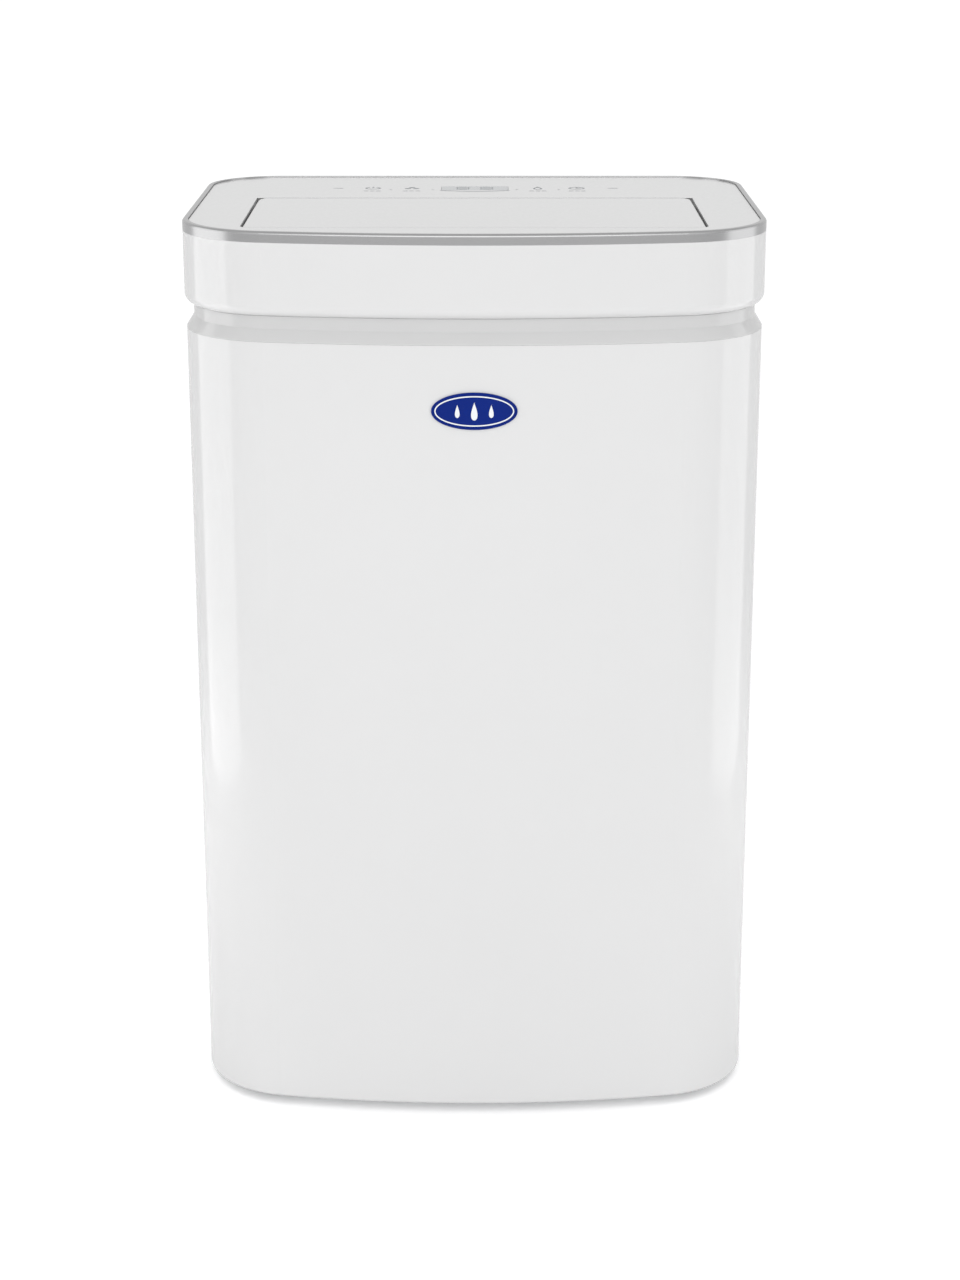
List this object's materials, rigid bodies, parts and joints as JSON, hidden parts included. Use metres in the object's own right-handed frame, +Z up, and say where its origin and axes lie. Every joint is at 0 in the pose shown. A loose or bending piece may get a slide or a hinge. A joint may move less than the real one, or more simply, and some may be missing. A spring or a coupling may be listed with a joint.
{
  "type": "dehumidifier",
  "caption": "Upright portable dehumidifier with a grip groove, a top air flap, a slide-out water bucket, a filter and swivel casters.",
  "frame": {"origin": "on the floor, under the middle of the casing", "axes": "+X to the right seen from the front, +Y to the back, +Z up"},
  "size_m": [0.386, 0.298, 0.616],
  "materials": {
    "moulded_abs_white": "gloss, fine moulded",
    "silver_trim": "silver metallic paint on moulded ABS",
    "inner_plastic": "matt moulded polypropylene",
    "dark_plastic": "matt moulded",
    "smoked_window": "polished acrylic",
    "badge_enamel": "gloss lacquer",
    "galvanised_steel": "galvanised sheet",
    "black_enamelled_steel": "satin black paint",
    "aluminium_fin": "rolled fin stock",
    "copper_tube": "drawn copper",
    "rubber_black": "moulded rubber",
    "circuit_board": "solder mask",
    "filter_net": "woven nylon net",
    "bucket_plastic": "milky polypropylene",
    "foam_float": "closed-cell foam",
    "aluminium_can": "drawn can",
    "zinc_steel": "zinc plated",
    "wheel_plastic": "matt nylon"
  },
  "bodies": {
    "casing": {"front_cover": "moulded_abs_white", "rear_cover": "moulded_abs_white", "top_band": "moulded_abs_white", "grip_channel": "moulded_abs_white", "trim_ring": "silver_trim", "top_deck": "moulded_abs_white", "display_window": "smoked_window", "badge": "badge_enamel", "flap_motor": "galvanised_steel", "outlet_guard": "inner_plastic", "outlet_duct": "inner_plastic", "control_board": "circuit_board", "base_pan": "inner_plastic", "bucket_bay": "inner_plastic", "drip_tray": "inner_plastic", "coil_frame": "inner_plastic", "intake_grille": "moulded_abs_white", "blower_scroll": "inner_plastic", "fan_motor": "galvanised_steel", "compressor_shell": "black_enamelled_steel", "compressor_core": "galvanised_steel", "compressor_grommets": "rubber_black", "terminal_cover": "dark_plastic", "accumulator": "copper_tube", "suction_line": "copper_tube", "discharge_line": "copper_tube", "filter_drier": "copper_tube", "capillary_tube": "copper_tube", "power_box": "inner_plastic", "power_box_lid": "inner_plastic", "power_board": "circuit_board", "run_capacitor": "aluminium_can", "humidity_sensor": "dark_plastic", "float_switch": "dark_plastic", "drain_outlet": "dark_plastic", "cord_gland": "dark_plastic", "casing_screws": "zinc_steel", "evaporator_fins": "aluminium_fin", "evaporator_tubes": "copper_tube", "condenser_fins": "aluminium_fin", "condenser_tubes": "copper_tube"},
    "flap": {"outlet_flap": "moulded_abs_white"},
    "fan": {"fan_wheel": "dark_plastic", "fan_shaft": "zinc_steel"},
    "bucket": {"water_bucket": "bucket_plastic", "bucket_front": "moulded_abs_white", "bucket_cover": "inner_plastic"},
    "bail": {"bucket_handle": "inner_plastic"},
    "float": {"bucket_float": "foam_float"},
    "filter": {"filter_frame": "inner_plastic", "filter_mesh": "filter_net"},
    "drain_door": {"drain_cover": "moulded_abs_white"},
    "swivel_front_left": {"caster_fork_front_left": "dark_plastic"},
    "wheel_front_left": {"caster_wheel_front_left": "wheel_plastic"},
    "swivel_front_right": {"caster_fork_front_right": "dark_plastic"},
    "wheel_front_right": {"caster_wheel_front_right": "wheel_plastic"},
    "swivel_rear_left": {"caster_fork_rear_left": "dark_plastic"},
    "wheel_rear_left": {"caster_wheel_rear_left": "wheel_plastic"},
    "swivel_rear_right": {"caster_fork_rear_right": "dark_plastic"},
    "wheel_rear_right": {"caster_wheel_rear_right": "wheel_plastic"}
  },
  "joints": [
    {"name": "flap_hinge", "type": "hinge", "parent": "casing", "child": "flap", "pos_m": [0, 0.028, 0.608], "axis": [-1, 0, 0], "range_deg": [0, 50]},
    {"name": "fan_spin", "type": "hinge", "parent": "casing", "child": "fan", "pos_m": [0, 0, 0.4], "axis": [0, 1, 0], "continuous": true},
    {"name": "bucket_slide", "type": "slide", "parent": "casing", "child": "bucket", "axis": [0, 1, 0], "range_m": [0, 0.17]},
    {"name": "bail_hinge", "type": "hinge", "parent": "bucket", "child": "bail", "pos_m": [0, 0.07, 0.1845], "axis": [1, 0, 0], "range_deg": [0, 180]},
    {"name": "float_hinge", "type": "hinge", "parent": "bucket", "child": "float", "pos_m": [0.106, 0.102, 0.166], "axis": [-1, 0, 0], "range_deg": [0, 11]},
    {"name": "filter_slide", "type": "slide", "parent": "casing", "child": "filter", "axis": [1, 0, 0], "range_m": [0, 0.33]},
    {"name": "drain_door_hinge", "type": "hinge", "parent": "casing", "child": "drain_door", "pos_m": [0, 0.1462, 0.2805], "axis": [1, 0, 0], "range_deg": [0, 95]},
    {"name": "swivel_front_left", "type": "hinge", "parent": "casing", "child": "swivel_front_left", "pos_m": [-0.14, -0.096, 0.03], "axis": [0, 0, 1], "continuous": true},
    {"name": "roll_front_left", "type": "hinge", "parent": "swivel_front_left", "child": "wheel_front_left", "pos_m": [-0.14, -0.087, 0.0125], "axis": [1, 0, 0], "continuous": true},
    {"name": "swivel_front_right", "type": "hinge", "parent": "casing", "child": "swivel_front_right", "pos_m": [0.14, -0.096, 0.03], "axis": [0, 0, 1], "continuous": true},
    {"name": "roll_front_right", "type": "hinge", "parent": "swivel_front_right", "child": "wheel_front_right", "pos_m": [0.14, -0.087, 0.0125], "axis": [1, 0, 0], "continuous": true},
    {"name": "swivel_rear_left", "type": "hinge", "parent": "casing", "child": "swivel_rear_left", "pos_m": [-0.14, 0.098, 0.03], "axis": [0, 0, 1], "continuous": true},
    {"name": "roll_rear_left", "type": "hinge", "parent": "swivel_rear_left", "child": "wheel_rear_left", "pos_m": [-0.14, 0.107, 0.0125], "axis": [1, 0, 0], "continuous": true},
    {"name": "swivel_rear_right", "type": "hinge", "parent": "casing", "child": "swivel_rear_right", "pos_m": [0.14, 0.098, 0.03], "axis": [0, 0, 1], "continuous": true},
    {"name": "roll_rear_right", "type": "hinge", "parent": "swivel_rear_right", "child": "wheel_rear_right", "pos_m": [0.14, 0.107, 0.0125], "axis": [1, 0, 0], "continuous": true}
  ]
}
